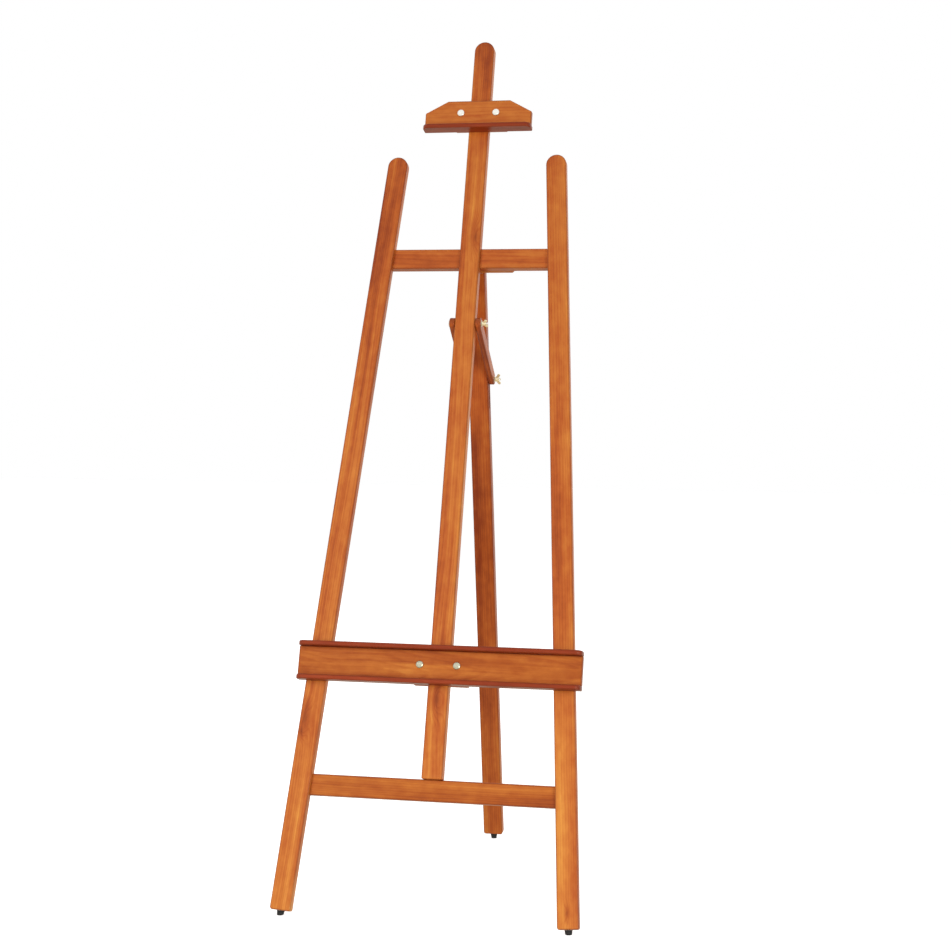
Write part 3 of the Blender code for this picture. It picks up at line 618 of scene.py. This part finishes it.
NUT_HUB = [(0, 0.0080), (0.0036, 0.0080), (0.0039, 0.0077), (0.0047, 0.0018), (0.0049, 0.0004),
           (0.0046, 0), (0, 0)]     # radius and height
NUT_LOBE_RADIUS = 0.0029
NUT_LOBE_MIDDLE = (0.0083, 0.0080)  # out from the axis, and height
NUT_WING_FOOT = 0.0019              # height of the wings' lower edge
NUT_WING_DIP = 0.0012               # the wings' inner ends below the middle of their lobes
NUT_WING_REACH = 0.0112
NUT_WING_HALF = (0.0013, 0.0009)    # half a wing's thickness, at the axis and at its reach
NUT_MELT = 0.00024                  # fineness of the melted casting
NUT_FACES_KEPT = 0.34
NUT_BORE = 0.0029
NUT_THREAD = (0.00022, 0.0008)      # depth and pitch


def wing_outline():
    """One wing from the side: a straight foot, a round lobe, and a dip back to the hub."""
    inside = 0.001                  # starts within the hub
    middle, height = NUT_LOBE_MIDDLE
    dip = height - NUT_WING_DIP
    outline = [(inside, NUT_WING_FOOT), (0.0040, NUT_WING_FOOT)]
    outline += [(middle + NUT_LOBE_RADIUS * cos(a), height + NUT_LOBE_RADIUS * sin(a))
                for a in (radians(-50 + 20 * i) for i in range(11))]
    return outline + [(0.0030, dip), (inside, dip)]


def wing_nut_mesh():
    """A cast wing nut: a tapered hub and two lobed wings, melted together, with a bore."""
    hub = turned_mesh("hub", NUT_HUB, 48)
    shape = bmesh.new()
    shape.from_mesh(hub)
    outline = wing_outline()
    root, tip = NUT_WING_HALF
    for side in (-1, 1):
        front, back = [], []
        for x, z in outline:
            thick = root - (root - tip) * x / NUT_WING_REACH
            front.append(shape.verts.new((side * x, -thick, z)))
            back.append(shape.verts.new((side * x, thick, z)))
        shape.faces.new(front if side > 0 else front[::-1])
        shape.faces.new(back[::-1] if side > 0 else back)
        for index in range(len(outline)):
            after = (index + 1) % len(outline)
            quad = (front[index], back[index], back[after], front[after])
            shape.faces.new(quad if side > 0 else quad[::-1])
    cast = bpy.data.meshes.new("wing_nut_cast")
    shape.to_mesh(cast)
    shape.free()
    piece = loose(cast)
    melt = piece.modifiers.new("melt", "REMESH")
    melt.mode = "VOXEL"
    melt.voxel_size = NUT_MELT
    smooth = piece.modifiers.new("smooth", "SMOOTH")
    smooth.factor = 0.5
    smooth.iterations = 5
    thin = piece.modifiers.new("thin", "DECIMATE")
    thin.ratio = NUT_FACES_KEPT
    melted = apply_modifiers(piece)
    above, below, lead = 0.014, -0.004, 0.0005      # the tool reaches past both ends
    rows = [(0, above), (NUT_BORE, above)]
    rows += thread_rows(NUT_BORE, *NUT_THREAD, above - lead, below + lead)
    rows += [(NUT_BORE, below), (0, below)]
    return cut_mesh(melted, turned_mesh("bore", rows, 32))


WING_NUT = wing_nut_mesh()
WASHER = washer_mesh("washer", *WASHER_SIZE)


def wing_direction(node, centre, axis):
    """Which way one wing of a frame's wing nut points from its axis."""
    spokes = []
    for point in vertices(node):
        spoke = point - centre
        spokes.append(spoke - axis * spoke.dot(axis))
    longest = max(spokes, key=lambda spoke: spoke.length)
    tips = [s for s in spokes if s.length > 0.9 * longest.length and s.dot(longest) > 0]
    return sum(tips, Vector()).normalized()


def build_bolt_sets():
    """Each bolt, washer and wing nut, along the axis of the wing nut's joint."""
    bodies = {"strut_upper": ("frame", "strut_upper_nut"),
              "strut_lower": ("strut", "strut_lower_nut")}
    for piece in ("tray", "clip"):
        for side in ("left", "right"):
            bodies[piece + "_" + side] = (piece, piece + "_" + side + "_nut")
    for prefix, (body, nut_body) in bodies.items():
        joint = JOINTS[prefix + "_wing_nut_turn"]
        axis, place = Vector(joint["axis"]), Vector(joint["pos_m"])
        level = RIGHT if abs(axis.x) < 0.5 else UP
        node = prefix + "_bolt"
        length = length_along(node, axis) - HEAD_RISE
        head = end_centre(node, -axis) + axis * HEAD_RISE
        # The tray's bolts take the zinc that is darkened as painted shade.
        small_piece(prefix + "_carriage_bolt", node, body, bolt_mesh(node, length),
                    axes(head, -axis, level), YELLOWED_SHADED_ZINC if body == "tray" else ZINC)
        node = prefix + "_washer"
        small_piece(node + "_ring", node, body, WASHER,
                    axes(end_centre(node, -axis), axis, level), ZINC, 30)
        node = prefix + "_wing_nut"
        small_piece(node + "_cast", node, nut_body, WING_NUT,
                    axes(place, axis, wing_direction(node, place, axis)), BRASS, 50)


def build_screws():
    """The countersunk screws, each with its own turn of the cross."""
    frame_screws = ["lower_crossbar_left_screw", "lower_crossbar_right_screw",
                    "upper_crossbar_left_screw", "upper_crossbar_right_screw",
                    "hinge_block_left_screw", "hinge_block_right_screw"]
    rear_front = RIGHT.cross(REAR_UP)
    groups = [("frame", BACK, SCREW, frame_screws),
              ("frame", BACK, SMALL_SCREW,
               ["hinge_fixed_leaf_left_screw", "hinge_fixed_leaf_right_screw"]),
              ("rear_leg", rear_front, SMALL_SCREW,
               ["hinge_moving_leaf_left_screw", "hinge_moving_leaf_right_screw"]),
              ("frame", -leg_direction(-1), SCREW, ["left_foot_screw"]),
              ("frame", -leg_direction(1), SCREW, ["right_foot_screw"]),
              ("rear_leg", -REAR_UP, SCREW, ["rear_foot_screw"])]
    turn = 0.0
    for body, out, size, nodes in groups:
        for node in nodes:
            turn += 37.0
            cross = Matrix.Rotation(radians(turn), 4, "Z")
            matrix = axes(end_centre(node, out), out, RIGHT) @ cross
            small_piece(node + "_cross_head", node, body,
                        screw_mesh(node, length_along(node, out), *size), matrix, ZINC)


FOOT_TOP, FOOT_LOW, FOOT_HEIGHT = 0.0074, 0.0047, 0.016     # two radii, and the height
FOOT_BORE, FOOT_RECESS = 0.0024, 0.0040     # radii round the screw's shank and its head
FOOT_RECESS_ROOF, FOOT_BORE_END = -0.0052, -0.0030
FOOT_GROOVE = (0.0021, 0.0024, 0.0031, 0.0034)  # where the groove starts, and where it is deep
FOOT_GROOVE_DEPTH = 0.00045
FLOOR_LIFT = 0.00002                # the feet end this far above the floor


def foot_mesh(name, matrix):
    """A tapered rubber foot with a groove under its collar, cut where the floor is."""
    soft = 0.0004

    def side(depth, inward=0.0):
        """A point of the foot's tapered side."""
        return FOOT_TOP + (FOOT_LOW - FOOT_TOP) * depth / FOOT_HEIGHT - inward, -depth
    start, deep, still_deep, stop = FOOT_GROOVE
    rows = [(FOOT_BORE, 0), (FOOT_TOP - soft, 0), (FOOT_TOP, -soft), side(start),
            side(deep, FOOT_GROOVE_DEPTH), side(still_deep, FOOT_GROOVE_DEPTH), side(stop),
            side(FOOT_HEIGHT / 2), (FOOT_LOW, -FOOT_HEIGHT), (FOOT_RECESS, -FOOT_HEIGHT),
            (FOOT_RECESS, FOOT_RECESS_ROOF), (FOOT_BORE, FOOT_BORE_END)]
    shape = bmesh.new()
    shape.from_mesh(turned_mesh(name, rows, 48, closed=True))
    inverse = matrix.inverted()
    floor, normal = inverse.translation, inverse.to_3x3() @ Vector((0, 0, 1))
    bmesh.ops.bisect_plane(shape, geom=shape.verts[:] + shape.edges[:] + shape.faces[:],
                           plane_co=floor + normal * FLOOR_LIFT, plane_no=normal,
                           clear_inner=True)
    rim = [edge for edge in shape.edges if edge.is_boundary]
    bmesh.ops.holes_fill(shape, edges=rim)
    mesh = bpy.data.meshes.new(name)
    shape.to_mesh(mesh)
    shape.free()
    return mesh


def build_feet():
    for node, body, leg_up in (("left_foot", "frame", leg_direction(-1)),
                               ("right_foot", "frame", leg_direction(1)),
                               ("rear_foot", "rear_leg", REAR_UP)):
        matrix = axes(end_centre(node, leg_up), leg_up, RIGHT)
        small_piece(node + "_rubber", node, body, foot_mesh(node, matrix), matrix, RUBBER,
                    30)


def build_hinge():
    """The hinge's leaves and pin keep their frame shapes, in plated steel."""
    for node in ("hinge_fixed_leaf", "hinge_moving_leaf", "hinge_pin"):
        for slot in frame["nodes"][node].material_slots:
            slot.material = ZINC


# Stage -----------------------------------------------------------------------------------
# The camera was fitted to the object's outlines, with no shift.
CAMERA_PLACE = Vector((0.8738, -3.7369, 1.0974))
CAMERA_AZIMUTH = radians(12.73)
CAMERA_ELEVATION = radians(4.50)
CAMERA_LENS = 75.1


def pale_floor():
    graph = Graph("pale_floor")
    place = graph.place()
    cloud = graph.noise(place, (1.3, 1.3, 1.3), 3.0)
    colour = graph.ramp(cloud, [(0.3, (0.93, 0.93, 0.93)), (0.7, (0.96, 0.96, 0.96))])
    roughness = graph.math("ADD", graph.weigh((cloud, 0.5, 0.1)), 0.85)
    return graph.finish(colour, roughness, cloud, 0.0001, Specular_IOR_Level=0.2,
                        Emission_Color=(1, 1, 1, 1), Emission_Strength=0.66)


# Brightness of the white studio: as seen directly, as light, and as metal and lacquer
# reflect it, from below and from above. What they reflect from below is a warm white.
WORLD_SEEN = 1.0
WORLD_LIGHT = 0.32
REFLECTED_BELOW = 0.90
WARM_BELOW = (1.0, 0.90, 0.72, 1.0)
REFLECTED_ABOVE = 1.10
WHITE = (1, 1, 1, 1)
FLOOR_HALF = 9.0
FLOOR_DROP = 0.0002                 # keeps the floor clear of the feet

# Lamps: place, target, size, power, and whether metal and lacquer reflect them.
SOFTBOXES = [((-1.9, -3.3, 2.1), (0, 0, 0.6), 2.4, 73, False),          # key, from the left
             ((0.2, -1.3, 0.05), (0.05, 0.05, 1.2), 1.5, 3.5, False),   # from the floor
             ((2.3, -2.8, 0.9), (0.1, -0.2, 0.3), 1.4, 42, True),       # fill, from the right
             ((2.6, 1.6, 1.9), (0, 0.1, 0.9), 1.8, 26, False),          # behind, right
             ((-2.2, 2.6, 2.2), (0, 0.1, 0.8), 2.0, 38, False)]         # behind, left


def build_floor():
    """A pale floor that shows the object's shadow, but gives it no light of its own."""
    size = FLOOR_HALF
    floor = loose(new_mesh("floor", [(-size, -size, 0), (size, -size, 0), (size, size, 0),
                                     (-size, size, 0)], [(0, 1, 2, 3)]))
    floor.location.z = -FLOOR_DROP
    floor.data.materials.append(pale_floor())
    floor.visible_glossy = False
    floor.visible_diffuse = False


def build_world():
    """A white studio whose strength and tint depend on what sees it, and where."""
    world = bpy.data.worlds.new("studio")
    world.use_nodes = True
    tree = world.node_tree
    background = tree.nodes["Background"].inputs
    paths = tree.nodes.new("ShaderNodeLightPath").outputs
    direction = tree.nodes.new("ShaderNodeSeparateXYZ")
    tree.links.new(tree.nodes.new("ShaderNodeTexCoord").outputs["Generated"],
                   direction.inputs[0])
    upward = direction.outputs["Z"]

    def between(value, low, high, from_low=0.0, from_high=1.0):
        choice = tree.nodes.new("ShaderNodeMapRange")
        choice.inputs["From Min"].default_value = from_low
        choice.inputs["From Max"].default_value = from_high
        for name, level in (("Value", value), ("To Min", low), ("To Max", high)):
            if isinstance(level, float):
                choice.inputs[name].default_value = level
            else:
                tree.links.new(level, choice.inputs[name])
        return choice.outputs[0]
    reflected = between(upward, REFLECTED_BELOW, REFLECTED_ABOVE, -0.5, 0.5)
    lit = between(paths["Is Glossy Ray"], WORLD_LIGHT, reflected)
    tree.links.new(between(paths["Is Camera Ray"], lit, WORLD_SEEN), background["Strength"])

    # White for the camera, and for anything else the whiter the higher it looks.
    whiteness = tree.nodes.new("ShaderNodeMath")
    whiteness.operation = "MAXIMUM"
    tree.links.new(between(upward, 0.0, 1.0, -0.4, 0.1), whiteness.inputs[0])
    tree.links.new(paths["Is Camera Ray"], whiteness.inputs[1])
    tint = tree.nodes.new("ShaderNodeMix")
    tint.data_type = "RGBA"
    tree.links.new(whiteness.outputs[0], tint.inputs[0])
    tint.inputs[6].default_value = WARM_BELOW
    tint.inputs[7].default_value = WHITE
    tree.links.new(tint.outputs[2], background["Color"])
    bpy.context.scene.world = world


def softbox(place, target, size, power, glossy):
    light = bpy.data.lights.new("softbox", "AREA")
    light.size = size
    light.energy = power
    lamp = bpy.data.objects.new("softbox", light)
    lamp.location = place
    lamp.rotation_euler = (Vector(target) - Vector(place)).to_track_quat("-Z", "Y").to_euler()
    lamp.visible_camera = False
    lamp.visible_glossy = glossy
    bpy.context.scene.collection.objects.link(lamp)


def build_camera():
    camera = bpy.data.objects.new("camera", bpy.data.cameras.new("camera"))
    camera.data.lens = CAMERA_LENS
    camera.location = CAMERA_PLACE
    camera.rotation_euler = (pi / 2 - CAMERA_ELEVATION, 0, CAMERA_AZIMUTH)
    bpy.context.scene.collection.objects.link(camera)
    bpy.context.scene.camera = camera
    bpy.context.scene.view_settings.view_transform = "Standard"


build_boards()
build_bolt_sets()
build_screws()
build_feet()
build_hinge()
build_floor()
build_world()
for lamp_settings in SOFTBOXES:
    softbox(*lamp_settings)
build_camera()
